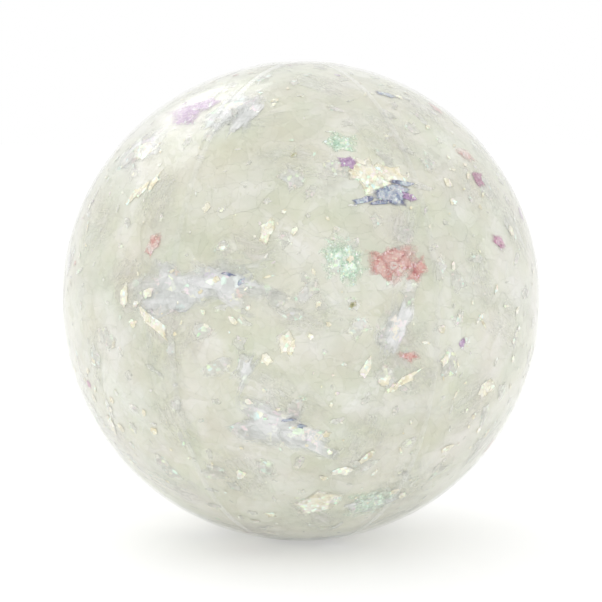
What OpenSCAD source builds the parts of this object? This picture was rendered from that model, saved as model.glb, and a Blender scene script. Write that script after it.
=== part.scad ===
// Inflatable beach ball, blown up and plugged.
// Clear film panels are welded side by side on inner laps, and a round disc closes each end.
// A soft stop valve with a captive plug sits in the middle of the rear panel, pushed in flush.
// Loose shards of crumpled film lie against the inside, in front of wider milky sheets.
// Millimetres. The origin is the centre of the ball, +Z runs through the end discs, front is -Y.

/* [Ball] */
// Diameter over the panels of the ball when it is blown up
ball_d = 300; // [240:5:400]
// Number of panels welded side by side
panel_count = 6; // [4:1:8]
// Thickness of the film of panels and end discs
film_t = 0.25; // [0.2:0.05:0.4]
// Width of the lap that each panel has under its neighbour
lap_w = 4; // [3:0.5:8]
// Width of the step, under its own panel, that carries the lap
lap_root_w = 1.5; // [1:0.5:3]
// Diameter of the hole that the panels' tips leave at each end
tip_hole_d = 16; // [10:1:24]
// Distance from that hole to the end of each lap
lap_setback = 1; // [0.5:0.5:4]
// Diameter of the end discs
end_disc_d = 56; // [40:1:80]

/* [Valve] */
// Diameter of the well that the stem sinks into
well_d = 28; // [26:0.5:34]
// Amount by which the film's hole is wider than the well
well_margin = 1; // [0.5:0.5:3]
// Width of the flange that is welded under the film round the well
flange_w = 6; // [4:0.5:10]
// Thickness of the flange
flange_t = 0.5; // [0.4:0.1:1]
// Thickness of the weld between the film and the flange
weld_t = 0.05; // [0.02:0.01:0.1]
// Thickness of the soft collar between the flange and the stem
collar_t = 0.45; // [0.3:0.05:0.6]
// Depth from the film to the foot of the collar with the stem pushed in
collar_depth = 11; // [9:0.5:12]
// Clearance between the foot of the collar and the ring on the stem
collar_gap = 0.05; // [0.02:0.01:0.1]
// Outside diameter of the stem
stem_d = 10.6; // [10:0.2:12]
// Length of the stem
stem_len = 14; // [13:0.5:17]
// Bore of the stem, which takes the nozzle of a pump
nozzle_bore_d = 6; // [5:0.1:6.4]
// Diameter of the plug's seat at the mouth of the stem
seat_d = 7.2; // [6.8:0.1:8]
// Depth of the plug's seat
seat_depth = 6; // [5.8:0.1:7]
// Width of the rim that stands out round the mouth
rim_w = 1.1; // [0.8:0.1:1.5]
// Thickness of the rim and of the strap's lug
rim_t = 1.2; // [1:0.1:1.8]
// Width of the ring that joins the collar to the stem
ring_w = 1.9; // [1.4:0.1:2.4]
// Height of the ring
ring_h = 1.2; // [1:0.1:2]

/* [Plug] */
// Diameter of the plug's head
head_d = 12.4; // [11:0.2:13.6]
// Thickness of the head
head_t = 1.6; // [1.4:0.1:2.4]
// Depth of the head's top below the ball's surface
head_sink = 0; // [0:0.1:1]
// Clearance under the head
head_gap = 0.1; // [0.05:0.05:0.3]
// Length of the stub that closes the stem
stub_len = 5.2; // [3:0.1:5.4]
// Clearance round the stub
stub_gap = 0.1; // [0.05:0.05:0.2]
// Distance that the pull tab stands out of the head
tab_len = 2.4; // [1.5:0.1:3]
// Width of the pull tab
tab_w = 4; // [3:0.5:6]
// Thickness of the pull tab
tab_t = 0.9; // [0.6:0.1:1.2]
// Width of the strap that holds the plug
strap_w = 5; // [3:0.5:6]
// Thickness of the strap
strap_t = 0.8; // [0.6:0.1:1]
// Free length of the strap between the head and its bend
strap_free = 2.7; // [2.2:0.1:3.5]
// Diameter of the round bead at the strap's bend
bead_d = 1.3; // [1.1:0.1:1.4]

/* [Check flap] */
// Diameter of the flap that closes the foot of the stem
flap_d = 10; // [8:0.2:10.6]
// Thickness of the flap
flap_t = 0.3; // [0.2:0.05:0.6]
// Clearance between the flap and the stem
flap_gap = 0.1; // [0.05:0.05:0.2]
// Width of the flap's hinge tab
flap_tab_w = 4; // [3:0.5:6]
// Height of the lug above the hinge tab
flap_lug_h = 1; // [0.8:0.1:1.5]

/* [Loose film] */
// Thickness of the loose film as it lies crumpled
flake_t = 0.1; // [0.05:0.05:0.2]
// Clearance between the loose film and the laps
flake_gap = 0.05; // [0.05:0.05:0.2]
// Reach of the largest shard from its middle
flake_r = 9; // [6:0.5:10]
// Distance between the middles of neighbouring shards
flake_pitch = 27; // [24:1:60]
// Reach of the milky sheets from their middles
sheet_r = 27; // [20:1:32]
// Least distance between neighbouring sheets
sheet_spread = 2; // [1:0.5:4]
// Distance that the loose film keeps from the valve's flange
valve_clearance = 1; // [1:0.5:4]

/* [Hidden] */
$fn = 180;
ball_r = ball_d / 2;
skin_r = ball_r - film_t;
lap_r = skin_r - film_t;
beyond = 2 * ball_r;
front_angle = -90;
half_panel = 180 / panel_count;
tip_hole_r = tip_hole_d / 2;
tip_factor = 1.15;
lap_start = max(tip_hole_r + lap_setback,
                tip_factor * panel_count * (lap_w + lap_root_w) / (2 * PI));
end_disc_r = end_disc_d / 2;

// The valve stands in the panel that is furthest from the front.
valve_panel = floor(panel_count / 2) + 1;
valve_angle = panel_angle(valve_panel);
well_r = well_d / 2;
film_hole_r = well_r + well_margin / 2;
flange_r = well_r + flange_w;
flange_face_r = skin_r - weld_t;
stem_r = stem_d / 2;
rim_r = stem_r + rim_w;
ring_r = stem_r + ring_w;
seat_r = seat_d / 2;

// Heights in the valve's own frame, whose zero is the ball's surface on the valve's axis.
head_top = -head_sink;
head_base = head_top - head_t;
stem_top = head_base - head_gap;
stem_foot = stem_top - stem_len;
ring_z = -collar_depth;
bend_z = (head_top + head_base) / 2;
bend_x = head_d / 2 + strap_free;
strap_lug_x = bend_x + bead_d / 2;
flap_top = stem_foot - flap_gap;
flap_hinge_x = -stem_r - flap_t;
flap_lug_x = flap_hinge_x - 2 * flap_t;

// Shards lie under the laps, and the sheets' corners lie under the deepest shard.
shard_rim = lap_r - flake_gap;
sheet_rim = shard_rim - pow(flake_r, 2) / (2 * ball_r) - flake_t - flake_gap;
valve_room = flange_r + valve_clearance;
golden_angle = 137.508;
// Least distance between neighbours of n points on a unit sphere is this over the root of n.
spiral_factor = 3.09;
sheet_pitch = 2 * sheet_r + sheet_spread;
SHARD_NODES = ["pearl_shards", "cream_shards", "lilac_shards", "coral_shards",
               "mint_shards", "blue_shards", "magenta_shards"];
SHARD_COLORS = ["#e9ebe4", "#f2ecc8", "#cdb9d6", "#dd8577", "#a8dcb8", "#7f94c8", "#b9478f"];
// Which of the colours above each shard in a run of fourteen has.
shard_order = [0, 1, 0, 2, 0, 3, 0, 4, 1, 0, 5, 0, 2, 6];

PANEL_NODES = [for (k = [1:panel_count]) str("panel_", k)];

function panel_angle(k) = front_angle + 2 * half_panel * (k - 1);

// Height of a sphere about the ball's centre, at a distance from the valve's axis.
function sphere_z(sphere_r, reach) = sqrt(pow(sphere_r, 2) - pow(reach, 2)) - ball_r;

// Widest stub at a depth below the bend that still swings out of the seat.
function stub_r(depth) = sqrt(pow(bend_x + seat_r, 2) - pow(depth, 2)) - bend_x - stub_gap;

// Polar angle and turn of the i-th of n points spread evenly over a sphere.
function spiral(i, n) = [acos(1 - (2 * i + 1) / n), i * golden_angle];

// Distance along the film from a point of the spiral to the valve's axis.
function from_valve(at) = ball_r * acos(sin(at[0]) * cos(at[1] - valve_angle)) * PI / 180;

function spread_count(rim, pitch) = floor(pow(spiral_factor * rim / pitch, 2));

module shell(inner_r, outer_r) {
    difference() {
        sphere(outer_r);
        sphere(inner_r);
    }
}

// Moves a shape from the valve's frame to the ball: its +X points down and its +Z outwards.
module at_valve() {
    rotate([0, 90, valve_angle]) translate([0, 0, ball_r]) children();
}

module turned(points) {
    rotate_extrude() polygon(points);
}

module panel(k) {
    color("#dfe0d4", 0.35) difference() {
        rotate(panel_angle(k)) difference() {
            union() {
                intersection() {
                    shell(skin_r, ball_r);
                    linear_extrude(2 * beyond, center = true)
                        polygon([[0, 0],
                                 beyond * [cos(half_panel), -sin(half_panel)],
                                 beyond * [cos(half_panel), sin(half_panel)]]);
                }
                intersection() {
                    shell(lap_r, skin_r);
                    rotate(half_panel) translate([lap_start, -lap_root_w, -beyond])
                        cube([beyond, lap_root_w + lap_w, 2 * beyond]);
                }
            }
            cylinder(r = tip_hole_r, h = 2 * beyond, center = true);
        }
        if (k == valve_panel) at_valve() cylinder(r = film_hole_r, h = ball_r, center = true);
    }
}

module end_disc(side) {
    color("#e4e5da", 0.45) intersection() {
        shell(ball_r, ball_r + film_t);
        mirror([0, 0, side < 0 ? 1 : 0]) cylinder(r = end_disc_r, h = beyond);
    }
}

module valve_flange() {
    color("#e8e9e2", 0.7) intersection() {
        shell(flange_face_r - flange_t, flange_face_r);
        at_valve() difference() {
            cylinder(r = flange_r, h = ball_r, center = true);
            cylinder(r = well_r, h = 2 * ball_r, center = true);
        }
    }
}

module valve_collar() {
    foot_r = ring_r + collar_gap;
    top_z = sphere_z(flange_face_r, well_r);
    fall = top_z - ring_z;
    run = well_r - foot_r;
    upright_t = collar_t * norm([fall, run]) / run;
    color("#eef0ea", 0.7) at_valve()
        turned([[well_r, top_z], [well_r, top_z - upright_t],
                [foot_r, ring_z - upright_t / 2], [foot_r, ring_z + upright_t / 2]]);
}

module valve_stem() {
    color("#f0f1ec", 0.85) at_valve() difference() {
        union() {
            turned([[0, stem_foot], [stem_r, stem_foot],
                    [stem_r, ring_z - ring_h / 2], [ring_r, ring_z - ring_h / 2],
                    [ring_r, ring_z + ring_h / 2], [stem_r, ring_z + ring_h / 2],
                    [stem_r, stem_top - rim_t], [rim_r, stem_top - rim_t],
                    [rim_r, stem_top], [0, stem_top]]);
            translate([0, -strap_w / 2, stem_top - rim_t]) cube([strap_lug_x, strap_w, rim_t]);
            translate([flap_lug_x, -flap_tab_w / 2, stem_foot])
                cube([-flap_lug_x, flap_tab_w, flap_lug_h]);
        }
        translate([0, 0, stem_top - seat_depth]) cylinder(r = seat_r, h = stem_len);
        translate([0, 0, stem_foot]) cylinder(d = nozzle_bore_d, h = 2 * stem_len, center = true);
    }
}

module valve_plug() {
    steps = 8;
    stub_profile = [for (i = [0:steps])
        let (z = head_base - stub_len * i / steps) [stub_r(bend_z - z), z]];
    color("#f4f5f1", 0.9) at_valve() union() {
        turned(concat([[0, head_top], [head_d / 2, head_top], [head_d / 2, head_base]],
                      stub_profile, [[0, head_base - stub_len]]));
        translate([-head_d / 2 - tab_len, -tab_w / 2, head_top - tab_t])
            cube([head_d / 2, tab_w, tab_t]);
    }
}

module plug_strap() {
    color("#f4f5f1", 0.9) at_valve() union() {
        difference() {
            translate([0, -strap_w / 2, bend_z - strap_t / 2]) cube([bend_x, strap_w, strap_t]);
            translate([0, 0, bend_z]) cylinder(d = head_d, h = 2 * head_t, center = true);
        }
        translate([bend_x, 0, bend_z]) rotate([90, 0, 0])
            cylinder(d = bead_d, h = strap_w, center = true);
    }
}

module check_flap() {
    hinge_z = flap_top - flap_t / 2;
    color("#dcded6", 0.8) at_valve() union() {
        translate([0, 0, flap_top - flap_t]) cylinder(d = flap_d, h = flap_t);
        translate([flap_hinge_x, -flap_tab_w / 2, flap_top - flap_t])
            cube([-flap_hinge_x, flap_tab_w, flap_t]);
        translate([flap_hinge_x, 0, hinge_z]) rotate([90, 0, 0])
            cylinder(d = flap_t, h = flap_tab_w, center = true);
    }
}

// A flat shard whose outermost corner lies at rim.
module film_shard(reach, rim, at, seed) {
    corners = 5 + seed % 3;
    lengths = reach * rands(0.6, 1, corners, seed);
    turns = rands(-0.25, 0.25, corners, seed + 1);
    outline = [for (c = [0:corners - 1])
        let (a = 360 * (c + turns[c]) / corners) lengths[c] * [cos(a), sin(a)]];
    rotate([0, at[0], at[1]]) translate([0, 0, sqrt(pow(rim, 2) - pow(max(lengths), 2)) - flake_t])
        linear_extrude(flake_t) polygon(outline);
}

module milky_sheets() {
    count = spread_count(sheet_rim, sheet_pitch);
    color("#d5d7c8") for (i = [0:count - 1]) {
        at = spiral(i, count);
        if (from_valve(at) > valve_room + sheet_r) film_shard(sheet_r, sheet_rim, at, i);
    }
}

module film_shards(shade) {
    count = spread_count(shard_rim, flake_pitch);
    color(SHARD_COLORS[shade]) for (i = [0:count - 1]) {
        at = spiral(i, count);
        reach = flake_r * rands(0.5, 1, 1, i)[0];
        if (shard_order[i % len(shard_order)] == shade && from_valve(at) > valve_room + flake_r)
            film_shard(reach, shard_rim, at, i);
    }
}

for (k = [1:panel_count]) panel(k);
end_disc(1);  // top_end_disc
end_disc(-1);  // bottom_end_disc
valve_flange();
valve_collar();
valve_stem();
valve_plug();
plug_strap();
check_flap();
milky_sheets();
for (s = [0:len(SHARD_NODES) - 1]) film_shards(s);
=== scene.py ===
"""Inflatable beach ball of clear film, filled with loose pearly film, with a pop-in valve."""
import math

import bmesh
import bpy
from mathutils import Matrix, Vector


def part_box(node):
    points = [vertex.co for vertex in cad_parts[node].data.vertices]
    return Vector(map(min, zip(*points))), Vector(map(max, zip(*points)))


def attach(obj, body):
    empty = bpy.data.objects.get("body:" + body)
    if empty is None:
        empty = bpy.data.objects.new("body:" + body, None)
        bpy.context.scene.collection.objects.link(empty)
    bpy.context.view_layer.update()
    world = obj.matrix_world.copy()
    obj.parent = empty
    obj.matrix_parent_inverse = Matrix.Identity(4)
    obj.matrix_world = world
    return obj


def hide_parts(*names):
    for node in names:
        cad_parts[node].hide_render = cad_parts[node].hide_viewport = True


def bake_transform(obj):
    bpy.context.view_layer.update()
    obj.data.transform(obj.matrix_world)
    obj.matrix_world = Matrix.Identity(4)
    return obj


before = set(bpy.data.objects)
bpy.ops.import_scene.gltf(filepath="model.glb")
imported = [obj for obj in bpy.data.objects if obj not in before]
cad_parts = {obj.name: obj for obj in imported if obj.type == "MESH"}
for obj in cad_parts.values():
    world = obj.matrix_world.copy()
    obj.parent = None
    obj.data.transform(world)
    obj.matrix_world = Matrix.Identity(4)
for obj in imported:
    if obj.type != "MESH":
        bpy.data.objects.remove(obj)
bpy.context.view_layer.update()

# Camera. It stands level in front of the first panel and looks slightly down, through a long
# lens, so that the ball keeps a true round outline.
lens_data = bpy.data.cameras.new("camera")
lens_data.lens = 110
lens_data.clip_end = 60
camera = bpy.data.objects.new("camera", lens_data)
bpy.context.collection.objects.link(camera)
bpy.context.scene.camera = camera
bpy.context.scene.view_settings.view_transform = "Standard"
camera_distance = 1.16
camera_rise = math.radians(6)
toward_camera = Vector((0, -math.cos(camera_rise), math.sin(camera_rise)))
camera.location = toward_camera * camera_distance
camera.rotation_mode = "QUATERNION"
camera.rotation_quaternion = (-toward_camera).to_track_quat("-Z", "Y")


class Line:
    """One socket of a node tree. Arithmetic on it adds Math nodes, and node() adds any other."""

    def __init__(self, tree, socket=None):
        self.tree = tree
        self.socket = socket

    def node(self, kind, settings=(), inputs=(), take=0):
        """The output named by take of a new node with these settings and inputs."""
        made = self.tree.nodes.new(kind)
        for name, value in dict(settings).items():
            setattr(made, name, value)
        for name, value in dict(inputs).items():
            for one in value if isinstance(value, list) else [value]:
                if isinstance(one, Line):
                    self.tree.links.new(one.socket, made.inputs[name])
                else:
                    made.inputs[name].default_value = one
        return Line(self.tree, made.outputs[take] if made.outputs else None)

    def also(self, take):
        """Another output of the same node."""
        return Line(self.tree, self.socket.node.outputs[take])

    def math(self, operation, *others, clamp=False):
        values = dict(enumerate((self, *others)))
        return self.node("ShaderNodeMath", {"operation": operation, "use_clamp": clamp}, values)

    def vector(self, operation, *others, take=0):
        values = dict(enumerate((self, *others)))
        return self.node("ShaderNodeVectorMath", {"operation": operation}, values, take)

    def scaled(self, factor):
        return self.node("ShaderNodeVectorMath", {"operation": "SCALE"}, {0: self, "Scale": factor})

    def split(self):
        """The x, y and z of this place or colour."""
        x = self.node("ShaderNodeSeparateXYZ", {}, {0: self})
        return x, x.also("Y"), x.also("Z")

    def joined(self, x, y, z=0.0):
        """These three values as one place."""
        return self.node("ShaderNodeCombineXYZ", {}, {0: x, 1: y, 2: z})

    def attribute(self, name, take="Fac"):
        """A value that the mesh holds under this name."""
        return self.node("ShaderNodeAttribute", {"attribute_name": name}, take=take)

    def noise(self, scale, detail, **sockets):
        """Noise over this place. Where w is given, it also changes along a fourth axis."""
        settings = {"noise_dimensions": "4D"} if "w" in sockets else {}
        values = {name.capitalize(): value for name, value in sockets.items()}
        return self.node("ShaderNodeTexNoise", settings, {
            "Vector": self, "Scale": scale, "Detail": detail, **values})

    def ramp(self, stops):
        """The colour at this value, from stops of a value and a colour."""
        colour = self.node("ShaderNodeValToRGB", {}, {0: self})
        elements = colour.socket.node.color_ramp.elements
        while len(elements) < len(stops):
            elements.new(1)
        for element, (value, shade) in zip(elements, stops):
            element.position = value
            element.color = (*shade, 1)
        return colour

    def surface(self, skin, solid=None):
        """Ends a material. Where solid is given, the skin shows as far as that is 1, and fades
        to clear at 0."""
        if solid:
            clear = self.node("ShaderNodeBsdfTransparent")
            skin = self.node("ShaderNodeMixShader", {}, {0: solid, 1: clear, 2: skin})
        self.node("ShaderNodeOutputMaterial", {}, {"Surface": skin})

    def between(self, low, high):
        """0 below low, 1 above high and straight between them."""
        return self.node("ShaderNodeMapRange", {}, {0: self, 1: low, 2: high})

    def blend(self, first, second):
        """Two colours mixed by this value."""
        return self.node("ShaderNodeMix", {"data_type": "RGBA"}, {0: self, 6: first, 7: second}, 2)

    def tinted(self, share, colour):
        """This colour with a share of another laid over it in soft light."""
        settings = {"data_type": "RGBA", "blend_type": "SOFT_LIGHT"}
        return self.node("ShaderNodeMix", settings, {0: share, 6: self, 7: colour}, 2)

    def __add__(self, other):
        return self.math("ADD", other)

    __radd__ = __add__

    def __sub__(self, other):
        return self.math("SUBTRACT", other)

    def __rsub__(self, other):
        return self.node("ShaderNodeMath", {"operation": "SUBTRACT"}, {0: other, 1: self})

    def __mul__(self, other):
        return self.math("MULTIPLY", other)

    __rmul__ = __mul__

    def __truediv__(self, other):
        return self.math("DIVIDE", other)

    def __rtruediv__(self, other):
        return self.node("ShaderNodeMath", {"operation": "DIVIDE"}, {0: other, 1: self})

    def __pow__(self, other):
        return self.math("POWER", other)


def new_material(name):
    """An empty material and the line that its nodes start from."""
    material = bpy.data.materials.new(name)
    material.use_nodes = True
    material.node_tree.nodes.clear()
    return material, Line(material.node_tree)


def new_piece(name, mesh, body, slot, *nodes):
    """A finished mesh as a piece of the ball, which stands for the CAD nodes named. A piece that
    bends across a joint rides on no single body."""
    piece = bpy.data.objects.new(name, mesh)
    bpy.context.collection.objects.link(piece)
    if body:
        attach(piece, body)
    if nodes:
        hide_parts(*nodes)
    return piece


# Floor and light. The ball stands on a plain white floor in an even white room, with one wide
# soft lamp above and behind its left shoulder.
floor_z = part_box("bottom_end_disc")[0].z
floor_reach = 12
floor_mesh = bpy.data.meshes.new("floor")
corners = [(-1, -1), (1, -1), (1, 1), (-1, 1)]
floor_mesh.from_pydata([(x * floor_reach, y * floor_reach, floor_z) for x, y in corners], [],
                       [(0, 1, 2, 3)])
floor = bpy.data.objects.new("floor", floor_mesh)
bpy.context.collection.objects.link(floor)
floor_paint, line = new_material("floor paint")
path = line.node("ShaderNodeLightPath", take="Is Camera Ray")
matt = line.node("ShaderNodeBsdfDiffuse", {}, {"Color": (0.72, 0.72, 0.72, 1)})
lift = line.node("ShaderNodeEmission", {}, {"Strength": path * 0.06 + 0.28})
both = line.node("ShaderNodeAddShader", {}, {0: matt, 1: lift})
line.surface(both)
floor_mesh.materials.append(floor_paint)

world = bpy.data.worlds.new("room")
bpy.context.scene.world = world
world.use_nodes = True
world.node_tree.nodes.clear()
line = Line(world.node_tree)
path = line.node("ShaderNodeLightPath", take="Is Camera Ray")
plain = path.math("MAXIMUM", path.also("Is Transmission Ray"))
plain = plain.math("MAXIMUM", path.also("Is Glossy Ray"))
room_light = 1.11
room = line.node("ShaderNodeBackground", {}, {
    "Color": (1, 1, 1, 1),
    "Strength": plain * (1 - room_light) + room_light,
})
line.node("ShaderNodeOutputWorld", {}, {"Surface": room})

lamp_data = bpy.data.lights.new("shoulder lamp", "AREA")
lamp_data.shape = "RECTANGLE"
lamp_data.size = 1.5
lamp_data.size_y = 0.9
lamp_data.energy = 4.5
lamp = bpy.data.objects.new("shoulder lamp", lamp_data)
bpy.context.collection.objects.link(lamp)
lamp.location = (-0.9, 0.8, 1.3)
lamp.rotation_mode = "QUATERNION"
lamp.rotation_quaternion = lamp.location.to_track_quat("Z", "Y")

# Film panels. Six gores of clear film, cut like orange peel and welded along their long edges.
# The last part of each, past gore_share of its sheet, is a lap that lies 4 mm inside the next
# panel. They meet under the two end discs.
ball_r = 0.150
film_t = 0.00025
tip_hole_r = 0.008
lap_w = 0.004
panel_count = 6
panel_half = math.pi / panel_count
gore_share = 0.9
pucker_reach = 0.014
pucker_rise = 0.00018
lap_edge = 0.0008


def new_tree(name, sizes):
    """A Geometry Nodes tree with these named inputs, its starting line and its input values."""
    tree = bpy.data.node_groups.new(name, "GeometryNodeTree")
    tree.is_modifier = True
    tree.interface.new_socket(name="Geometry", in_out="OUTPUT", socket_type="NodeSocketGeometry")
    tree.interface.new_socket(name="Geometry", in_out="INPUT", socket_type="NodeSocketGeometry")
    for size, kind in sizes.items():
        tree.interface.new_socket(name=size, in_out="INPUT", socket_type="NodeSocket" + kind)
    line = Line(tree)
    given = line.node("NodeGroupInput")
    return tree, line, {name: given.also(name) for name in ("Geometry", *sizes)}


def store(line, geometry, name, value, kind="FLOAT"):
    """The geometry, with a value on its points under this name."""
    return line.node("GeometryNodeStoreNamedAttribute", {"data_type": kind, "domain": "POINT"}, {
        "Geometry": geometry, "Name": name, "Value": value})


def stored(line, name, kind="FLOAT"):
    """The value on each point under this name."""
    return line.node("GeometryNodeInputNamedAttribute", {"data_type": kind}, {"Name": name})


def grown(name, tree, values, start=None, punch=None):
    """The mesh that a tree makes with these values, as a plain mesh. punch is cut out of it."""
    mesh = start or bpy.data.meshes.new(name)
    maker = bpy.data.objects.new(name + " maker", mesh)
    bpy.context.collection.objects.link(maker)
    modifier = maker.modifiers.new("shape", "NODES")
    modifier.node_group = tree
    for item in tree.interface.items_tree:
        if item.in_out == "INPUT" and item.name in values:
            modifier[item.identifier] = values[item.name]
    if punch:
        hole = maker.modifiers.new("hole", "BOOLEAN")
        hole.object = punch
        hole.solver = "EXACT"
    ready = maker.evaluated_get(bpy.context.evaluated_depsgraph_get())
    made = bpy.data.meshes.new_from_object(ready)
    made.name = name
    bpy.data.objects.remove(maker)
    return made


panel_tree, line, size = new_tree("film panel", {
    "Middle": "Float", "Half width": "Float", "Radius": "Float", "Lap": "Float",
    "Tip hole": "Float", "Film": "Float", "Pucker": "Float", "Columns": "Int", "Rows": "Int",
    "Material": "Material",
})

# The sheet starts as a grid, with the gore and then its lap across it, and tip to tip up it.
sheet = line.node("GeometryNodeMeshGrid", {}, {
    "Size X": 1.0, "Size Y": 1.0, "Vertices X": size["Columns"], "Vertices Y": size["Rows"]})
over, up = line.node("GeometryNodeInputPosition").split()[:2]
along = up * 2
tip_angle = (size["Tip hole"] / size["Radius"]).math("ARCCOSINE")
height = along * tip_angle
girth = height.math("COSINE") * size["Radius"]
across = (over + 0.5) / gore_share
even = across.math("MINIMUM", 1.0)
inside = 0.5 - (even * math.pi).math("COSINE") * 0.5
beyond = ((across - 1) * (gore_share / (1 - gore_share))).math("MAXIMUM", 0.0)
tip_room = (girth - size["Tip hole"]) * 0.35 + 0.0015
lap = size["Lap"].math("MINIMUM", tip_room)
turn = size["Middle"] + size["Half width"] * (inside * 2 - 1) + beyond * lap / girth

# The film puckers near its seams. At the right one it steps in by its own thickness, so that its
# lap lies inside the next panel.
from_left = inside * size["Half width"] * 2 * girth
from_right = (1 - inside) * size["Half width"] * 2 * girth
near_seam = from_left.math("MINIMUM", from_right).between(pucker_reach, 0.0) ** 2
ripple = line.joined(height * 16, size["Middle"] * 3, across * 1.4).noise(1.0, 1.0)
step_in = from_right.between(lap_edge, 0.0) * (size["Film"] * 1.1)
radius = size["Radius"] - step_in - near_seam * ripple * size["Pucker"]
ring = radius * height.math("COSINE")
spot = line.joined(ring * turn.math("COSINE"), ring * turn.math("SINE"),
                   radius * height.math("SINE"))
sheet = store(line, sheet, "from_seam", from_left)
sheet = store(line, sheet, "lap", beyond)
sheet = line.node("GeometryNodeSetPosition", {}, {"Geometry": sheet, "Position": spot})
sheet = line.node("GeometryNodeRealizeInstances", {}, {"Geometry": sheet})
sheet = line.node("GeometryNodeSetMaterial", {}, {"Geometry": sheet, "Material": size["Material"]})
line.node("NodeGroupOutput", {}, {"Geometry": sheet})


def film_shader(line, rim_gloss, haze, roughness, bump):
    """Clear film: see-through, with a mirror gloss that grows where it turns away, and a pale
    haze."""
    facing = line.node("ShaderNodeLayerWeight", {}, {"Blend": 0.5}, "Facing")
    gloss = facing ** 3 * rim_gloss + 0.04
    haze = haze * (facing ** 2 * 2 + 1)
    opaque = gloss + haze
    skin = line.node("ShaderNodeBsdfPrincipled", {}, {
        "Base Color": (0.93, 0.935, 0.91, 1), "Roughness": roughness,
        "Metallic": gloss / opaque, "Normal": bump})
    line.surface(skin, opaque)


panel_film, line = new_material("clear film")
objects = line.node("ShaderNodeTexCoord", take="Object")
weld = line.attribute("from_seam").between(lap_w, lap_w - 0.0006)
weld = weld.math("MAXIMUM", line.attribute("lap").between(0.0, 0.4))
ribs = line.node("ShaderNodeTexWave", {"bands_direction": "Z"}, {
    "Vector": objects, "Scale": 220.0, "Distortion": 0.0})
clouds = objects.noise(14.0, 3.0)
emboss = line.node("ShaderNodeBump", {}, {
    "Strength": 1.0, "Distance": 0.0001, "Height": weld * ribs * 0.5 + clouds * 12})
film_shader(line, 0.75, weld * 0.04 + clouds * 0.02, weld * 0.1 + 0.16, emboss)

# The valve's pieces are made upright at the origin. This frame stands them at the middle of the
# rear panel, with their Z out of the ball and their X downwards.
valve_frame = Matrix(((0, -1, 0, 0), (0, 0, 1, ball_r), (-1, 0, 0, 0), (0, 0, 0, 1)))
film_hole_r = 0.0145
valve_panel = 3
punch_mesh = bpy.data.meshes.new("punch")
shape = bmesh.new()
bmesh.ops.create_cone(shape, cap_ends=True, segments=96, radius1=film_hole_r, radius2=film_hole_r,
                      depth=0.04, matrix=valve_frame)
shape.to_mesh(punch_mesh)
shape.free()
punch = bpy.data.objects.new("punch", punch_mesh)
bpy.context.collection.objects.link(punch)
for number in range(panel_count):
    name = f"panel_{number + 1}"
    mesh = grown(name + "_film", panel_tree, {
        "Middle": -math.pi / 2 + number * 2 * panel_half, "Half width": panel_half,
        "Radius": ball_r, "Lap": lap_w, "Tip hole": tip_hole_r, "Film": film_t,
        "Pucker": pucker_rise, "Columns": 41, "Rows": 181, "Material": panel_film,
    }, punch=punch if number == valve_panel else None)
    if number == valve_panel:
        # The punch leaves its own wall and end behind in the open sheet, and these go.
        shape = bmesh.new()
        shape.from_mesh(mesh)
        pocket = [face for face in shape.faces
                  if math.hypot(face.calc_center_median().x, face.calc_center_median().z)
                  < film_hole_r * 1.001]
        bmesh.ops.delete(shape, geom=pocket, context="FACES")
        shape.to_mesh(mesh)
        shape.free()
    mesh.shade_smooth()
    new_piece(name + "_film", mesh, "ball", "clear_film", name)
bpy.data.objects.remove(punch)

# End discs. A round patch of the same film is welded over the six tips at each end, with three
# fine weld rings pressed into it.
disc_r = 0.028
disc_steps = 96
disc_rings = 40
inner_weld_r = 0.015
weld_ring_rate = 2600
ridge_r = 0.021
ridge_band = 0.0055
ridge_pitch = 0.0022
ridge_rise = 0.00005


def turned(profile, steps, close=True):
    """A bmesh of a profile of (radius, height) points turned round the Z axis."""
    shape = bmesh.new()
    rings = []
    for radius, height in profile:
        if radius < 1e-6:
            rings.append([shape.verts.new((0, 0, height))] * steps)
            continue
        rings.append([shape.verts.new((radius * math.cos(math.tau * step / steps),
                                       radius * math.sin(math.tau * step / steps), height))
                      for step in range(steps)])
    pairs = list(zip(rings, rings[1:] + (rings[:1] if close else [])))
    for low, high in pairs:
        for step in range(steps):
            after = (step + 1) % steps
            corners = [low[step], low[after], high[after], high[step]]
            corners = [v for place, v in enumerate(corners) if v not in corners[:place]]
            if len(corners) > 2:
                shape.faces.new(corners)
    bmesh.ops.recalc_face_normals(shape, faces=shape.faces)
    return shape


def finished(name, shape, material, place=Matrix()):
    """The bmesh as a mesh of that name, put in its place, with smooth shading."""
    mesh = bpy.data.meshes.new(name)
    shape.transform(place)
    shape.to_mesh(mesh)
    shape.free()
    mesh.materials.append(material)
    mesh.shade_smooth()
    return mesh


disc_film, line = new_material("end disc film")
objects = line.node("ShaderNodeTexCoord", take="Object")
x, y = objects.split()[:2]
off_axis = (x * x + y * y).math("SQRT")
weld = (off_axis.between(inner_weld_r - 0.0005, inner_weld_r + 0.0005)
        * off_axis.between(disc_r - 0.0005, disc_r - 0.0015))
rings = (off_axis * weld_ring_rate).math("SINE")
dull = objects.noise(40.0, 3.0)
emboss = line.node("ShaderNodeBump", {}, {
    "Strength": 0.3, "Distance": 0.0002, "Height": weld * rings + dull * 0.3})
edge = off_axis.between(disc_r - 0.0009, disc_r - 0.0004)
film_shader(line, 0.2, weld * 0.07 + edge * 0.22 + dull * 0.03, weld * 0.2 + 0.12, emboss)
cap = []
for step in range(disc_rings + 1):
    radius = disc_r * step / disc_rings
    ridge = ridge_rise * max(0, math.cos((radius - ridge_r) / ridge_pitch * math.tau))
    if abs(radius - ridge_r) > ridge_band:
        ridge = 0
    lift = film_t * 0.96 - film_t * 0.5 * max(0, radius / disc_r - 0.97) / 0.03 + ridge
    cap.append((radius, math.sqrt((ball_r + lift) ** 2 - radius ** 2)))
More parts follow.
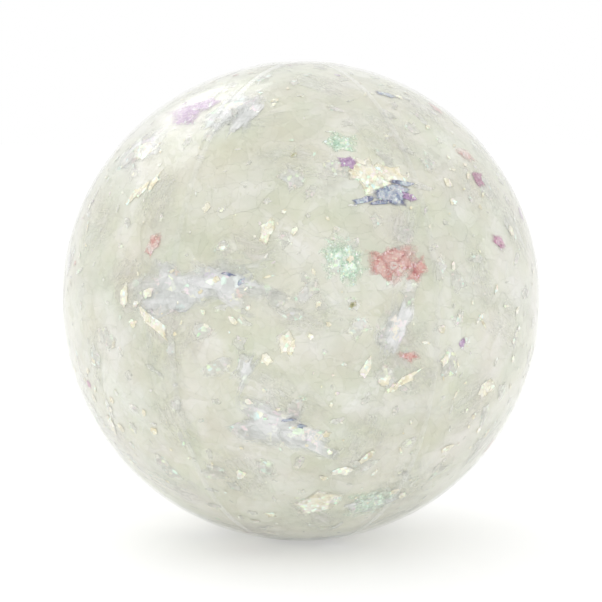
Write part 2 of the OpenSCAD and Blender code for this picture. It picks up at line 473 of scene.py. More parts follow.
cap.append((disc_r, math.sqrt((ball_r + 0.00002) ** 2 - disc_r ** 2)))
for side, name in ((1, "top_end_disc"), (-1, "bottom_end_disc")):
    shape = turned([(r, z * side) for r, z in cap], disc_steps, close=False)
    for face in shape.faces:
        if face.normal.z * side < 0:
            face.normal_flip()
    new_piece(name + "_film", finished(name + "_film", shape, disc_film), "ball",
              "end_disc_film", name)

# Loose milky film. Wide sheets of crumpled pearly film cling to the inside of the panels and lie
# over one another, so that no gap shows between them. Round the valve they lie under its flange,
# and four more close the view behind its well.
inside_r = ball_r - 2.4 * film_t
golden_turn = math.pi * (3 - math.sqrt(5))
least_depth = 0.0003
well_depth = 0.012
flake_tree, line, size = new_tree("loose film", {
    "Count": "Int", "Reach": "Float", "Small": "Float", "Slimness": "Float", "Depth": "Float",
    "Depth spread": "Float", "Tilt": "Float", "Cuts": "Float", "Crumple": "Float",
    "Crease": "Float", "Fineness": "Int", "Wander": "Float", "Valve room": "Float",
    "Front room": "Float", "Clumps": "Float", "Corners": "Int", "Inside radius": "Float",
    "Seed": "Int", "Material": "Material",
})


def chance(line, number, low=0.0, high=1.0):
    """A number drawn for each point, between low and high."""
    return line.node("FunctionNodeRandomValue", {"data_type": "FLOAT"}, {
        2: low, 3: high, "Seed": size["Seed"] * 31 + number}, 1)


# A spot for each flake, spread evenly over a sphere and then wandering from its place.
row = line.node("GeometryNodeMeshLine", {}, {"Count": size["Count"], "Offset": (0, 0, 0)})
index = line.node("GeometryNodeInputIndex")
shift = chance(line, 1, -1, 1) * size["Wander"]
level = 1 - (index + 0.5 + shift) / size["Count"] * 2
level = level.math("MINIMUM", 0.9999).math("MAXIMUM", -0.9999)
step = 1 / size["Count"].math("SQRT")
turn = index * golden_turn + size["Seed"] + chance(line, 2, -2, 2) * size["Wander"] * step
ring = (1 - level * level).math("SQRT")
spot = line.joined(ring * turn.math("COSINE"), ring * turn.math("SINE"), level)
row = line.node("GeometryNodeSetPosition", {}, {
    "Geometry": row, "Position": spot.scaled(size["Inside radius"])})

# What each flake has of its own: its reach, slimness, turn, depth and tint.
row = store(line, row, "reach", size["Reach"] * (1 - size["Small"] * (1 - chance(line, 3) ** 2)))
row = store(line, row, "slim", 1 - size["Slimness"] * chance(line, 4))
row = store(line, row, "turn", chance(line, 5, 0, math.tau))
row = store(line, row, "depth", size["Depth"] + size["Depth spread"] * chance(line, 6))
row = store(line, row, "tint", chance(line, 7))

# Front room and Clumps can take spots away: at the front, where flakes are listed one by one, and
# between clumps. The listed spots then join the rest.
front = spot.split()[1] * -1
crowd = spot.noise(4.5, 2.0, w=size["Seed"] * 3.7)
unwanted = front.math("GREATER_THAN", size["Front room"]).math(
    "MAXIMUM", crowd.math("LESS_THAN", size["Clumps"]))
row = line.node("GeometryNodeDeleteGeometry", {"domain": "POINT"}, {
    "Geometry": row, "Selection": unwanted})
points = line.node("GeometryNodeJoinGeometry", {}, {0: [row, size["Geometry"]]})
points = store(line, points, "centre", line.node("GeometryNodeInputPosition"), "FLOAT_VECTOR")

# A round flake of few corners stands at each spot. Its flat shape is kept for the outline.
cut = line.node("GeometryNodeMeshCircle", {"fill_type": "TRIANGLE_FAN"}, {
    "Vertices": size["Corners"], "Radius": 1.0})
outer = line.node("GeometryNodeInputIndex").math("LESS_THAN", size["Corners"] - 0.5)
cut = store(line, cut, "rim", outer)
cut = line.node("GeometryNodeSubdivideMesh", {}, {"Mesh": cut, "Level": size["Fineness"]})
cut = store(line, cut, "flat", line.node("GeometryNodeInputPosition"), "FLOAT_VECTOR")
flakes = line.node("GeometryNodeInstanceOnPoints", {}, {"Points": points, "Instance": cut})
flakes = line.node("GeometryNodeRealizeInstances", {}, {"Geometry": flakes})

# Each flake is cut to its outline and laid on the sphere along its own two directions.
flat = stored(line, "flat", "FLOAT_VECTOR")
centre = stored(line, "centre", "FLOAT_VECTOR")
tint = stored(line, "tint")
outward = centre.vector("NORMALIZE")
east = line.node("ShaderNodeVectorMath", {"operation": "CROSS_PRODUCT"}, {
    0: (0, 0, 1), 1: outward}).vector("NORMALIZE")
north = outward.vector("CROSS_PRODUCT", east)
flat_x, flat_y = flat.split()[:2]
notch = flat.noise(1.7, 1.0, w=tint * 91)
trim = (1 - size["Cuts"] * notch.between(0.3, 0.7)) * stored(line, "reach")
turn = stored(line, "turn")
slim = stored(line, "slim")
long_way = flat_x * trim
short_way = flat_y * trim * slim
go_east = long_way * turn.math("COSINE") - short_way * turn.math("SINE")
go_north = long_way * turn.math("SINE") + short_way * turn.math("COSINE")
target = centre.vector("ADD", east.scaled(go_east)).vector("ADD", north.scaled(go_north))
way_out = target.vector("NORMALIZE")

# Folds run through it in three directions, and it leans a little on its middle.
fold_at = target.scaled(1 / size["Crease"])
folds = 0
for number, direction in enumerate([(0.9, 0.2, 0.4), (-0.3, 0.8, 0.5), (0.2, -0.5, 0.85)]):
    wave = fold_at.vector("DOT_PRODUCT", direction, take="Value") + tint * (23 + 7 * number)
    folds = folds + wave.math("PINGPONG", 1.0)
lean_x = (tint * 57).math("FRACT") - 0.5
lean_y = (tint * 113).math("FRACT") - 0.5
lean = (lean_x * go_east + lean_y * go_north) * size["Tilt"]
sink = stored(line, "depth") + (folds / 3 - 0.5) * size["Crumple"] + lean
deep = sink.math("MAXIMUM", least_depth)

# Film that lies no deeper than the well is pushed aside near the valve, and what is still in the
# well's way is cut off.
x, y, z = way_out.scaled(size["Inside radius"]).split()
near = y.math("GREATER_THAN", 0.0) * deep.math("LESS_THAN", well_depth)
off_axis = (x * x + z * z).math("SQRT") + 1e-6
pushed = (off_axis * off_axis + size["Valve room"] * size["Valve room"]).math("SQRT")
wider = (pushed / off_axis - 1) * near + 1
aside = line.joined(x * wider, y, z * wider).vector("NORMALIZE")
flakes = line.node("GeometryNodeSetPosition", {}, {
    "Geometry": flakes, "Position": aside.scaled(size["Inside radius"] - deep)})
x, y, z = line.node("GeometryNodeInputPosition").split()
off_axis = (x * x + z * z).math("SQRT")
shallow = y.math("GREATER_THAN", size["Inside radius"] - well_depth)
flakes = line.node("GeometryNodeDeleteGeometry", {"domain": "FACE"}, {
    "Geometry": flakes,
    "Selection": off_axis.math("LESS_THAN", size["Valve room"] * 0.96) * shallow})
flakes = line.node("GeometryNodeSetMaterial", {}, {
    "Geometry": flakes, "Material": size["Material"]})
line.node("NodeGroupOutput", {}, {"Geometry": flakes})


def by_hand(name, flakes):
    """Points for flakes that are listed one by one, each given as its bearing and height in
    degrees, reach in mm, slimness, turn in degrees, depth in mm and the tint that also picks its
    folds."""
    mesh = bpy.data.meshes.new(name)
    columns = {key: [] for key in ("reach", "slim", "turn", "depth", "tint")}
    points = []
    for bearing, height, reach, slim, turn, depth, tint in flakes:
        around = math.radians(bearing)
        above = math.radians(height)
        ring = math.cos(above)
        out = Vector((ring * math.sin(around), -ring * math.cos(around), math.sin(above)))
        points.append(out * inside_r)
        values = (reach / 1000, slim, math.radians(turn), depth / 1000, tint)
        for key, value in zip(columns, values):
            columns[key].append(value)
    mesh.from_pydata(points, [], [])
    for key, values in columns.items():
        mesh.attributes.new(key, "FLOAT", "POINT").data.foreach_set("value", values)
    return mesh


def loose_film(name, slot, node, values, flakes=()):
    """A piece of scattered film, with any flakes that are listed one by one. Unless values says
    otherwise, it keeps clear of the valve, covers the front too and isn't in clumps."""
    values = {"Inside radius": inside_r, "Valve room": 0.0155, "Front room": 2.0, "Clumps": 0.0,
              "Corners": 7, **values}
    mesh = grown(name, flake_tree, values, by_hand(name + " points", flakes))
    return new_piece(name, mesh, "ball", slot, node)


def crumpled(objects, tint, size, seed):
    """Facets of crumpled film: a random colour for each, and their tilted planes."""
    wobble = objects.noise(0.8 / size, 2.0).also("Color")
    shift = wobble.vector("SUBTRACT", (0.5, 0.5, 0.5)).scaled(0.5 * size)
    own = tint.joined(tint * 7 + seed, tint * 3, tint * 5)
    at = objects.vector("ADD", shift).vector("ADD", own)
    facet = at.node("ShaderNodeTexVoronoi", {"feature": "F1"}, {
        "Vector": at, "Scale": 1 / size, "Randomness": 1.0}, "Color")
    off = at.vector("SUBTRACT", facet.also("Position"))
    lean = facet.vector("SUBTRACT", (0.5, 0.5, 0.5))
    return facet, off.vector("DOT_PRODUCT", lean, take="Value")


def fan_of_folds(flat, tint, long_way, short_way):
    """Streaks along a flake like the folds of a fan, different on each flake. The two numbers
    are how many run over it each way."""
    own = tint.joined(tint * 31, tint * 17)
    return flat.vector("MULTIPLY", (long_way, short_way, 1.0)).vector("ADD", own).noise(1.0, 3.0)


backing_film, line = new_material("backing film")
objects = line.node("ShaderNodeTexCoord", take="Object")
tint = line.attribute("tint")
drift = objects.noise(22.0, 7.0, roughness=0.6, distortion=0.8)
hue = objects.noise(34.0, 4.0).also("Color")
wide, wide_plane = crumpled(objects, tint, 0.022, 1)
fine, fine_plane = crumpled(objects, tint, 0.008, 2)
shade = drift * 1.3 - 0.17 + (wide.split()[0] - 0.5) * 0.16 + (fine.split()[0] - 0.5) * 0.12
colour = shade.ramp([
    (0.20, (0.61, 0.62, 0.49)), (0.42, (0.67, 0.675, 0.555)), (0.56, (0.72, 0.72, 0.62)),
    (0.74, (0.79, 0.785, 0.71)), (0.92, (0.88, 0.88, 0.84))])
colour = colour.tinted(0.18, hue)
relief = line.node("ShaderNodeBump", {}, {
    "Strength": 1.0, "Distance": 0.25, "Height": wide_plane + fine_plane + drift * 0.0010})
backing = line.node("ShaderNodeBsdfPrincipled", {}, {
    "Base Color": colour, "Roughness": 0.35, "Normal": relief})
line.surface(backing)
loose_film("milky_backing_film", "milky_film", "milky_sheets", {
    "Count": 120, "Reach": 0.058, "Small": 0.15, "Slimness": 0.2, "Depth": 0.0008,
    "Depth spread": 0.0001, "Tilt": 0.002, "Cuts": 0.15, "Crumple": 0.00015, "Crease": 0.018,
    "Corners": 5, "Fineness": 3, "Wander": 0.3, "Seed": 7, "Material": backing_film,
}, [(180, 0, 40, 0.9, 0, 26.5, 0.3), (172, 8, 34, 0.8, 40, 27.5, 0.6),
    (189, -7, 36, 0.8, 110, 28.5, 0.8), (184, 10, 34, 0.7, 70, 29.5, 0.1)]).data.shade_smooth()

milky_film, line = new_material("milky film")
objects = line.node("ShaderNodeTexCoord", take="Object")
tint = line.attribute("tint")
rim = line.attribute("rim")
wide, wide_plane = crumpled(objects, tint, 0.016, 3)
drift = objects.noise(60.0, 5.0, roughness=0.62, distortion=0.6)
streak = fan_of_folds(line.attribute("flat", "Vector"), tint, 1.2, 5.0)
shade = drift * 0.6 + streak * 0.6 - 0.1 + (tint - 0.5) * 0.2
colour = shade.ramp([
    (0.25, (0.68, 0.69, 0.58)), (0.5, (0.76, 0.76, 0.68)), (0.8, (0.90, 0.90, 0.86))])
colour = colour.tinted(0.10, wide)
relief = line.node("ShaderNodeBump", {}, {
    "Strength": 1.0, "Distance": 0.3, "Height": wide_plane + streak * 0.0008})
pearly = line.node("ShaderNodeBsdfPrincipled", {}, {
    "Base Color": colour, "Roughness": 0.3, "Normal": relief})
thin = rim.between(1.0, 0.4) * ((streak * 0.5 + drift - 0.6) * 2.0)
line.surface(pearly, thin.math("ADD", 0.0, clamp=True))
loose_film("milky_sheet_film", "milky_film", "milky_sheets", {
    "Count": 80, "Reach": 0.044, "Small": 0.3, "Slimness": 0.6, "Depth": 0.0006,
    "Depth spread": 0.00005, "Tilt": 0.002, "Cuts": 0.3, "Crumple": 0.0001, "Crease": 0.014,
    "Fineness": 2, "Wander": 0.5, "Seed": 4, "Material": milky_film,
}).data.shade_smooth()

# Pearl shards. Snippets of thin crumpled pearly film, cut small and ragged, with painted glints in
# pale rainbow tints. They cling to the inside of the panels in front of the wide sheets, as all
# shards do.
shard_sizes = {
    "Small": 0.85, "Slimness": 0.75, "Depth": 0.0003, "Depth spread": 0.0002, "Tilt": 0.01,
    "Cuts": 0.6, "Crumple": 0.0001, "Crease": 0.006, "Fineness": 1, "Wander": 1.0,
    "Corners": 5,
}


def shard_film(name, stops, cover, broken, facet=0.004, glints=0.06, crease_light_strength=0.6, soft=0.55,
               edge=0.0, streaks=0.0, roughness=0.25, metal=0.1):
    """Shard film in mottled facets. cover is how opaque it is, broken how ragged, facet how wide
    its facets are, glints how much of it gets painted glints in pastel colours, creased how strong
    the painted highlights along its fold lines are, soft where it starts to fade, edge how much
    lighter its outline is, and streaks how strong the fan of folds along it is. The painted glints
    and highlights also glow a little by emission."""
    material, line = new_material(name)
    objects = line.node("ShaderNodeTexCoord", take="Object")
    tint = line.attribute("tint")
    rim = line.attribute("rim")
    cells, plane = crumpled(objects, tint, facet, 3)
    grains, grain_plane = crumpled(objects, tint, facet * 0.4, 4)
    cell = cells.split()[0]
    folded, painted_glint_pick = grains.split()[:2]
    mottle = objects.noise(0.6 / facet, 5.0, roughness=0.7)
    streak = fan_of_folds(line.attribute("flat", "Vector"), tint, 0.8, 4.5)
    shade = (tint * 13).math("FRACT") * 0.3 + mottle.between(0.3, 0.7) * 0.6
    shade = shade + (cell - 0.5) * 0.3 - 0.05
    shade = shade + (streak - 0.5) * streaks + rim.between(0.7, 0.95) * edge
    colour = shade.ramp(stops)
    pastel = line.node("ShaderNodeMix", {"data_type": "RGBA"}, {
        0: 0.3, 6: (0.97, 0.97, 0.93, 1), 7: grains}, 2)
    # Painted highlights: some grains, and thin lines where the mottling folds, get a pale pastel
    # colour as glints, and the same colour glows a little by emission, with no lamp behind it.
    painted_crease_light = (mottle - 0.5).math("ABSOLUTE").between(0.03, 0.008)
    painted_glint = painted_glint_pick.between(1 - glints, 1.02 - glints) * mottle.between(0.4, 0.6)
    painted_glint = painted_glint.math("MAXIMUM", painted_crease_light * folded.between(0.45, 0.6) * crease_light_strength)
    colour = painted_glint.blend(colour, pastel)
    painted_glint_glow = painted_glint.blend((0, 0, 0, 1), pastel)
    cut = (mottle - 0.5) * broken + (streak - 0.5) * streaks
    solid = (cut + rim.between(1.0, soft) * cover * 1.4 - 0.05).math("MINIMUM", cover)
    relief = line.node("ShaderNodeBump", {}, {
        "Strength": 1.0, "Distance": 0.6, "Height": plane + grain_plane})
    # The emission here is only the painted glints glowing.
    skin = line.node("ShaderNodeBsdfPrincipled", {}, {
        "Base Color": colour, "Roughness": roughness, "Metallic": metal, "Normal": relief,
        "Emission Color": painted_glint_glow, "Emission Strength": 0.3})
    line.surface(skin, solid.math("ADD", 0.0, clamp=True))
    return material


pearl = shard_film("pearl film", [
    (0.1, (0.79, 0.80, 0.73)), (0.4, (0.87, 0.87, 0.79)), (0.75, (0.98, 0.98, 0.95))],
    0.65, 1.8, facet=0.006, glints=0.16, soft=0.5, streaks=0.15, roughness=0.22)
loose_film("pearl_shard_film", "pearl_film", "pearl_shards", {
    **shard_sizes, "Count": 800, "Reach": 0.016, "Crease": 0.010, "Depth": 0.0004,
    "Tilt": 0.004, "Seed": 11, "Material": pearl,
})

# Veils. Wider, thinner strips of the same pearl film, folded along their length like a fan. A
# few large ones lie on the front, and the rest are scattered over the sides and the back.
veil = shard_film("veil film", [
    (0.2, (0.77, 0.79, 0.77)), (0.5, (0.88, 0.89, 0.88)), (0.8, (0.98, 0.98, 0.98))],
    0.85, 1.0, facet=0.012, glints=0.06, soft=0.3, streaks=1.1, roughness=0.2)
loose_film("veil_shard_film", "pearl_film", "pearl_shards", {
    **shard_sizes, "Count": 26, "Reach": 0.030, "Small": 0.5, "Crease": 0.010, "Tilt": 0.003,
    "Slimness": 0.6, "Fineness": 2, "Corners": 7, "Front room": 0.3, "Seed": 21,
    "Material": veil,
}, [(-28, 7.5, 48, 0.6, 8, 0.50, 0.19), (-17, 9.5, 38, 0.55, -14, 0.45, 0.27),
    (21, 0, 32, 0.5, 70, 0.5, 0.37), (-28, 54, 38, 0.6, 70, 0.5, 0.76),
    (-20, 52, 30, 0.5, 85, 0.45, 0.53), (-57, 41, 36, 0.8, 40, 0.5, 0.92),
    (-7, -22, 38, 0.65, -12, 0.5, 0.585), (1, -25.5, 30, 0.6, -30, 0.45, 0.42),
    (24, -48, 24, 0.6, 12, 0.5, 0.87), (-12, -9, 20, 0.5, 60, 0.5, 0.15)])

# Cream shards. Very small snippets of pale gold film, with painted glints in white and pastel that
# glow a little. They lie in loose swarms, with a few longer slivers and one patch of larger pieces.
cream = shard_film("cream film", [
    (0.1, (0.92, 0.83, 0.58)), (0.4, (0.95, 0.91, 0.72)), (0.75, (0.98, 0.97, 0.90))],
    0.95, 1.2, facet=0.005, glints=0.28, soft=0.7, roughness=0.2, metal=0.1)
loose_film("cream_shard_film", "cream_film", "cream_shards", {
    **shard_sizes, "Count": 1500, "Reach": 0.0065, "Clumps": 0.5, "Seed": 19,
    "Material": cream,
}, [(20.5, 32.5, 27, 0.75, 12, 0.42, 0.5), (17, 35.5, 19, 0.7, 60, 0.38, 0.52),
    (24, 34.5, 17, 0.6, -30, 0.36, 0.55),
    (43.5, 0.5, 9, 0.25, 40, 0.5, 0.3), (44.5, -0.5, 8, 0.2, -50, 0.5, 0.7),
    (-34, 0, 26, 0.22, -35, 0.4, 0.83), (-36.5, 2, 14, 0.25, -50, 0.4, 0.9),
    (-43, 5.5, 13, 0.5, 80, 0.4, 0.2), (5.5, -46.5, 24, 0.7, 30, 0.5, 0.6),
    (24, -11.5, 15, 0.3, 30, 0.4, 0.1), (18.5, -11.5, 9, 0.6, 10, 0.4, 0.9),
    (21, -13.5, 7, 0.6, 40, 0.4, 0.7), (-2, -4, 9, 0.4, 70, 0.4, 0.4),
    (-45, 30, 12, 0.4, 60, 0.4, 0.4), (-42, 32, 12, 0.35, 75, 0.4, 0.1),
    (-48, 28, 13, 0.35, 55, 0.4, 0.55), (49, -16, 15, 0.7, 0, 0.4, 0.2),
    (-55, 40, 20, 0.8, 20, 0.42, 0.92), (-3, -3, 12, 0.5, 80, 0.4, 0.53),
    (14, -9, 11, 0.45, 70, 0.4, 0.61), (-8, 21, 12, 0.5, 75, 0.4, 0.38),
    (-58, -27, 13, 0.5, 60, 0.4, 0.46), (11, -35, 13, 0.45, 10, 0.4, 0.3),
    (42, -31, 9, 0.5, 20, 0.4, 0.65), (17, -31, 10, 0.4, 50, 0.4, 0.85)])

# Olive flecks. Crumbs of the same gold film that lie folded, so that its dark back shows. Two
# of them lie on the front.
olive = shard_film("olive film", [
    (0.2, (0.38, 0.37, 0.16)), (0.5, (0.52, 0.51, 0.28)), (0.9, (0.70, 0.68, 0.46))],
    0.8, 1.2, facet=0.003)
loose_film("olive_shard_film", "cream_film", "cream_shards", {
    **shard_sizes, "Count": 24, "Reach": 0.005, "Seed": 18, "Front room": 0.3,
    "Material": olive,
}, [(-2, 39.5, 4.5, 0.7, 20, 0.35, 0.3), (11, 5, 4.5, 0.7, 50, 0.35, 0.5)])

# Lilac shards. Snippets of violet film, opaque at the middle and thin towards their ragged
# ends. The two largest overlap high on the left.
lilac = shard_film("lilac film", [
    (0.2, (0.42, 0.22, 0.46)), (0.5, (0.64, 0.44, 0.68)), (0.85, (0.86, 0.78, 0.89))],
    0.85, 1.8, facet=0.003, glints=0.10)
loose_film("lilac_shard_film", "lilac_film", "lilac_shards", {
    **shard_sizes, "Count": 60, "Reach": 0.011, "Seed": 13, "Front room": 0.35,
    "Material": lilac,
}, [(-48, 53, 26, 0.85, -35, 0.32, 0.08), (-43, 56, 16, 0.7, 20, 0.3, 0.38),
    (13, 37.5, 9, 0.85, 0, 0.35, 0.02), (38, -4.5, 5.5, 0.9, 0, 0.4, 0.9),
    (28, 28.5, 9, 0.5, -20, 0.34, 0.93)])

# Coral shards. Snippets of red film, crushed into small facets, with pale painted highlights along
# their fold lines. Four of the largest overlap in one patch.
coral = shard_film("coral film", [
    (0.10, (0.58, 0.18, 0.18)), (0.32, (0.76, 0.36, 0.32)), (0.55, (0.87, 0.57, 0.51)),
    (0.80, (0.94, 0.84, 0.78))], 0.85, 2.6, facet=0.0035, glints=0.0, crease_light_strength=0.7, soft=0.35)
loose_film("coral_shard_film", "coral_film", "coral_shards", {
    **shard_sizes, "Count": 36, "Reach": 0.013, "Seed": 14, "Front room": 0.35,
    "Material": coral,
}, [(18.5, 13.5, 17, 0.95, -6, 0.40, 0.02), (23, 14, 19, 0.85, 35, 0.38, 0.06),
    (26.5, 12, 14, 0.7, 60, 0.36, 0.0), (21, 15.5, 15, 0.7, 10, 0.34, 0.04),
    (-36, 17, 13, 0.6, 60, 0.4, 0.76), (57, 39, 16, 0.5, -30, 0.4, 0.84),
    (24, -6.5, 13, 0.4, -12, 0.4, 0.75), (-68, 11, 6, 0.5, 0, 0.4, 0.3)])

# Mint shards. Snippets of green film, broken into fine grains with painted glints in white and
# pastel, and nearly clear between the grains.
mint = shard_film("mint film", [
    (0.25, (0.54, 0.80, 0.60)), (0.5, (0.74, 0.93, 0.74)), (0.78, (0.94, 0.99, 0.90))],
    0.85, 3.4, facet=0.0025, glints=0.4, soft=0.25)
loose_film("mint_shard_film", "mint_film", "mint_shards", {
    **shard_sizes, "Count": 80, "Reach": 0.012, "Seed": 15, "Front room": 0.3,
    "Material": mint,
}, [(9, 15, 24, 0.95, 20, 0.5, 0.3), (11, 12.5, 16, 0.8, 70, 0.4, 0.34),
    (24, -47, 30, 0.9, 90, 0.4, 0.69), (11.5, 43, 17, 0.9, 30, 0.5, 0.5)])

# Blue shards. Slivers of slate blue film with an indigo outline and a thin metal coat. The
# finest of them lie across the veils.
blue = shard_film("blue film", [
    (0.05, (0.12, 0.12, 0.26)), (0.28, (0.30, 0.37, 0.54)), (0.5, (0.68, 0.74, 0.82))],
    0.85, 1.2, facet=0.003, soft=0.7, edge=-0.5, metal=0.25)
loose_film("blue_shard_film", "blue_film", "blue_shards", {
    **shard_sizes, "Count": 50, "Reach": 0.007, "Seed": 16, "Front room": 0.35,
    "Material": blue,
}, [(23.5, 29.5, 19, 0.65, 12, 0.34, 0.05), (27, 32, 14, 0.2, -10, 0.32, 0.12),
    (20, 27.5, 14, 0.16, 8, 0.34, 0.62), (15.5, 28, 11, 0.35, 12, 0.36, 0.64),
    (43, 60, 12, 0.4, -25, 0.35, 0.02), (-16, 11.5, 7, 0.25, -10, 0.34, 0.1),
    (-13, 10, 4.5, 0.6, 40, 0.34, 0.1), (-3, -20.5, 8, 0.22, 5, 0.36, 0.2),
    (0, -22, 4.5, 0.6, 0, 0.36, 0.1),
    (-66, -36, 6, 0.2, -50, 0.4, 0.3), (-58, -40, 6, 0.2, -45, 0.4, 0.4)])

# Magenta shards. Snippets of deep pink film, the fewest and smallest of all, which lie singly
# among the rest.
magenta = shard_film("magenta film", [
    (0.2, (0.44, 0.10, 0.26)), (0.5, (0.64, 0.26, 0.44)), (0.85, (0.80, 0.60, 0.70))],
    0.85, 1.2, facet=0.003)
loose_film("magenta_shard_film", "magenta_film", "magenta_shards", {
    **shard_sizes, "Count": 30, "Reach": 0.006, "Seed": 17, "Front room": 0.35,
    "Material": magenta,
}, [(56, 32.5, 11, 0.9, 20, 0.35, 0.1), (54, 17, 12, 0.5, -25, 0.35, 0.6),
    (-63, -17, 6, 0.9, 0, 0.4, 0.3)])

# Valve flange. A soft ring welded behind the hole in the rear panel carries the whole valve,
# with two weld rings pressed into its face.
flange_face_r = 0.1497
well_r = 0.014
flange_r = 0.020
flange_t = 0.0005
flange_rings = 24
weld_ring_gap = 0.0016
weld_groove = 0.0001


def moulded_vinyl(name, deep, pale, cover, ring_gap):
    """Soft milky vinyl with faint flow clouds and a fine matt grain. Where ring_gap isn't 0,
    weld rings that far apart are pressed into it round the valve's axis. They are thinner there,
    so a little clearer, and painted darker as shade in their grooves."""
    material, line = new_material(name)
    objects = line.node("ShaderNodeTexCoord", take="Object")
    cloud = objects.noise(220.0, 4.0)
    grain = objects.noise(2600.0, 2.0)
    colour = cloud.ramp([(0.3, deep), (0.7, pale)])
    height = grain * 0.15 + cloud * 0.3
    opaque = cloud * 0.3 + cover
    if ring_gap:
        x, _, z = objects.split()
        off_axis = (x * x + z * z).math("SQRT")
        press_and_shade = (off_axis * (math.tau / ring_gap)).math("SINE").between(0.1, 0.7)
        press_and_shade = press_and_shade * off_axis.between(well_r + 0.0006, well_r + 0.001)
        press_and_shade = press_and_shade * off_axis.between(flange_r - 0.0004, flange_r - 0.0008)
        # Painted shade: the pressed rings are coloured darker, as shade in their grooves.
        colour = press_and_shade.blend(colour, (0.60, 0.62, 0.58, 1))
        height = height - press_and_shade
        opaque = opaque - press_and_shade * 0.15
    relief = line.node("ShaderNodeBump", {}, {
        "Strength": 0.6, "Distance": 0.0002, "Height": height})
    soft = line.node("ShaderNodeBsdfPrincipled", {}, {
        "Base Color": colour, "Roughness": cloud * 0.15 + 0.24, "Normal": relief})
    line.surface(soft, opaque)
    return material


flange_vinyl = moulded_vinyl("flange vinyl", (0.70, 0.72, 0.67), (0.82, 0.83, 0.79), 0.55,
                             weld_ring_gap)
face = []
back = []
for step in range(flange_rings + 1):
    radius = well_r + (flange_r - well_r) * step / flange_rings
    groove = weld_groove * max(0, math.sin(radius / weld_ring_gap * math.tau)) ** 2
    slope = math.sqrt(flange_face_r ** 2 - radius ** 2) - ball_r
    face.append((radius, slope - groove))
    back.append((radius, slope - flange_t))
shape = turned(face + back[::-1], 96)
new_piece("valve_flange_ring", finished("valve_flange_ring", shape, flange_vinyl, valve_frame),
          "ball", "valve_vinyl", "valve_flange")

# Valve collar. A soft moulded cone that joins the flange to the ring on the stem, and turns
# inside out when the valve pops up.
vinyl = moulded_vinyl("valve vinyl", (0.68, 0.70, 0.67), (0.80, 0.82, 0.79), 0.55, 0)
collar_t = 0.00042
collar_top = (0.0139, -0.00115)
collar_foot = (0.0072, -0.0110)
collar_rings = 24
wall = []
for step in range(collar_rings + 1):
    share = step / collar_rings
    bulge = math.sin(share * math.pi) * 0.0011 + math.sin(share * math.tau * 2) * 0.00012
    wall.append((collar_top[0] + (collar_foot[0] - collar_top[0]) * share + bulge,
                 collar_top[1] + (collar_foot[1] - collar_top[1]) * share))
shape = turned(wall + [(r - collar_t, z) for r, z in wall[::-1]], 80)
collar = new_piece("valve_collar_sleeve", finished("valve_collar_sleeve", shape, vinyl,
                   valve_frame), None, "valve_vinyl", "valve_collar")
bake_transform(collar)

# Valve stem. A moulded tube: nozzle bore below, plug seat above, a rim that the plug closes on,
# and small lugs that hold the plug's strap and the check flap.
mm = 0.001


def in_mm(*corners):
    """Corners given in millimetres, in metres."""
    return [tuple(value * mm for value in corner) for corner in corners]


def eased(profile, radius):
    """A closed profile with each corner that is off the axis rounded."""
    smooth = []
    for place, point in enumerate(profile):
        here = Vector(point)
        before = Vector(profile[place - 1])
        after = Vector(profile[(place + 1) % len(profile)])
        if here.x < 1e-6:
            smooth.append(point)
            continue
        room = min(radius, (before - here).length * 0.45, (after - here).length * 0.45)
        start = here + (before - here).normalized() * room
        end = here + (after - here).normalized() * room
        for share in (0, 0.25, 0.5, 0.75, 1):
            bent = start * (1 - share) ** 2 + here * 2 * share * (1 - share) + end * share ** 2
            smooth.append(tuple(bent))
    return smooth


def block(shape, low, high, ease):
    """Adds a box with eased edges to the bmesh."""
    centre = (Vector(low) + Vector(high)) / 2
    size = Vector(high) - Vector(low)
    made = bmesh.ops.create_cube(shape, matrix=Matrix.Translation(centre)
                                 @ Matrix.Diagonal((*size, 1)))
    edges = list({edge for v in made["verts"] for edge in v.link_edges})
    bmesh.ops.bevel(shape, geom=edges, offset=ease, segments=3, profile=0.5, affect="EDGES")


stem_profile = in_mm(
    (3.0, -15.7), (5.3, -15.7), (5.3, -11.6), (7.2, -11.6), (7.2, -10.4), (5.3, -10.4),
    (5.3, -2.9), (6.4, -2.9), (6.4, -1.7), (3.6, -1.7), (3.6, -7.7), (3.0, -7.7))
strap_lug = in_mm((5.6, -2.5, -2.85), (9.5, 2.5, -1.75))
flap_lug = in_mm((-6.2, -2.0, -15.7), (-4.4, 2.0, -14.7))
shape = turned(eased(stem_profile, 0.25 * mm), 64)
block(shape, *strap_lug, 0.25 * mm)
block(shape, *flap_lug, 0.2 * mm)
new_piece("valve_stem_tube", finished("valve_stem_tube", shape, vinyl, valve_frame), "stem",
          "valve_vinyl", "valve_stem")

# Plug. A cap moulded in stiffer, paler vinyl, with a tapered stub that presses into the seat, a
# shallow dish on top and a ribbed pull tab.
plug_vinyl = moulded_vinyl("plug vinyl", (0.76, 0.77, 0.74), (0.88, 0.88, 0.86), 0.70, 0)
plug_profile = in_mm(
    (0, -6.8), (2.6, -6.8), (3.2, -4.6), (3.45, -1.65), (6.2, -1.6), (6.2, -0.12), (5.4, 0),
    (4.9, 0), (4.4, -0.9), (0, -1.0))
pull_tab = in_mm((-8.6, -2.0, -0.9), (-5.6, 2.0, -0.05))
shape = turned(eased(plug_profile, 0.3 * mm), 64, close=False)
block(shape, *pull_tab, 0.3 * mm)
for rib in (-8.1, -7.5, -6.9):
    block(shape, *in_mm((rib - 0.15, -1.6, -0.3), (rib + 0.15, 1.6, 0)), 0.1 * mm)
new_piece("valve_plug_cap", finished("valve_plug_cap", shape, plug_vinyl, valve_frame), "plug",
          "valve_vinyl", "valve_plug")

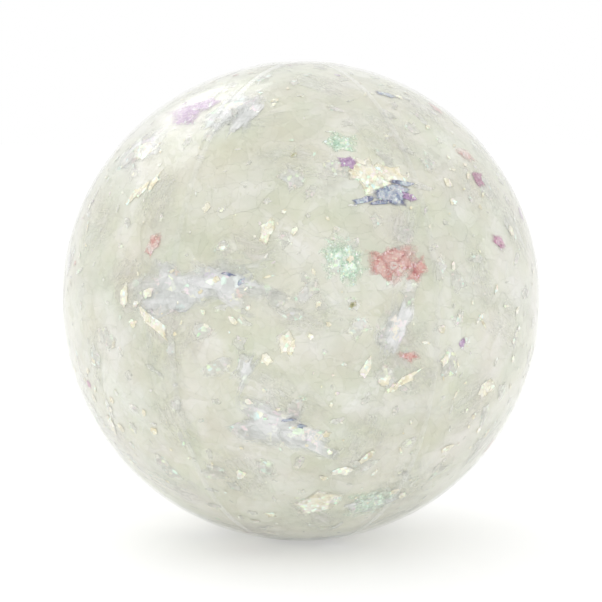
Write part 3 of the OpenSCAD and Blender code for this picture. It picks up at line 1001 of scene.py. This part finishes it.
# Plug strap. A short flat band, moulded in one with the plug, that bends like a hinge at the
# stem's lug. It is thinnest and narrowest at the middle, where it bends.
strap_from = 5.9 * mm
strap_to = 9.3 * mm
strap_level = -0.8 * mm
strap_steps = 16
strap_corners = [(-1, -0.6), (-0.92, -1), (0.92, -1), (1, -0.6), (1, 0.6), (0.92, 1), (-0.92, 1),
                 (-1, 0.6)]
shape = bmesh.new()
strap_rings = []
for step in range(strap_steps + 1):
    bow = math.sin(math.pi * step / strap_steps)
    x = strap_from + (strap_to - strap_from) * step / strap_steps
    thin = (0.40 - 0.14 * bow) * mm
    wide = (2.5 - 0.25 * bow) * mm
    strap_rings.append([shape.verts.new((x, wide * across, strap_level + thin * up))
                        for across, up in strap_corners])
for low, high in zip(strap_rings, strap_rings[1:]):
    for side in range(len(strap_corners)):
        after = (side + 1) % len(strap_corners)
        shape.faces.new((low[side], low[after], high[after], high[side]))
shape.faces.new(strap_rings[0])
shape.faces.new(strap_rings[-1])
bmesh.ops.recalc_face_normals(shape, faces=shape.faces)
strap = new_piece("valve_strap_band", finished("valve_strap_band", shape, plug_vinyl,
                  valve_frame), None, "valve_vinyl", "plug_strap")
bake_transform(strap)

# Check flap. A thin film disc under the bore that the air inside holds shut, hinged on a tab at
# the foot of the stem.
flap_film, line = new_material("flap film")
objects = line.node("ShaderNodeTexCoord", take="Object")
cloud = objects.noise(300.0, 3.0)
colour = cloud.ramp([(0.3, (0.66, 0.68, 0.64)), (0.7, (0.80, 0.81, 0.78))])
relief = line.node("ShaderNodeBump", {}, {"Strength": 0.3, "Distance": 0.0002, "Height": cloud})
thin = line.node("ShaderNodeBsdfPrincipled", {}, {
    "Base Color": colour, "Roughness": cloud * 0.2 + 0.15, "Normal": relief})
line.surface(thin, cloud * 0.3 + 0.55)
flap_profile = in_mm(
    (0, -16.1), (4.6, -16.1), (5.0, -16.05), (5.0, -15.85), (4.6, -15.8), (0, -15.8))
hinge_tab = in_mm((-5.75, -2.0, -16.1), (-4.2, 2.0, -15.8))
shape = turned(flap_profile, 48, close=False)
block(shape, *hinge_tab, 0.1 * mm)
new_piece("check_flap_disc", finished("check_flap_disc", shape, flap_film, valve_frame), "flap",
          "flap_film", "check_flap")
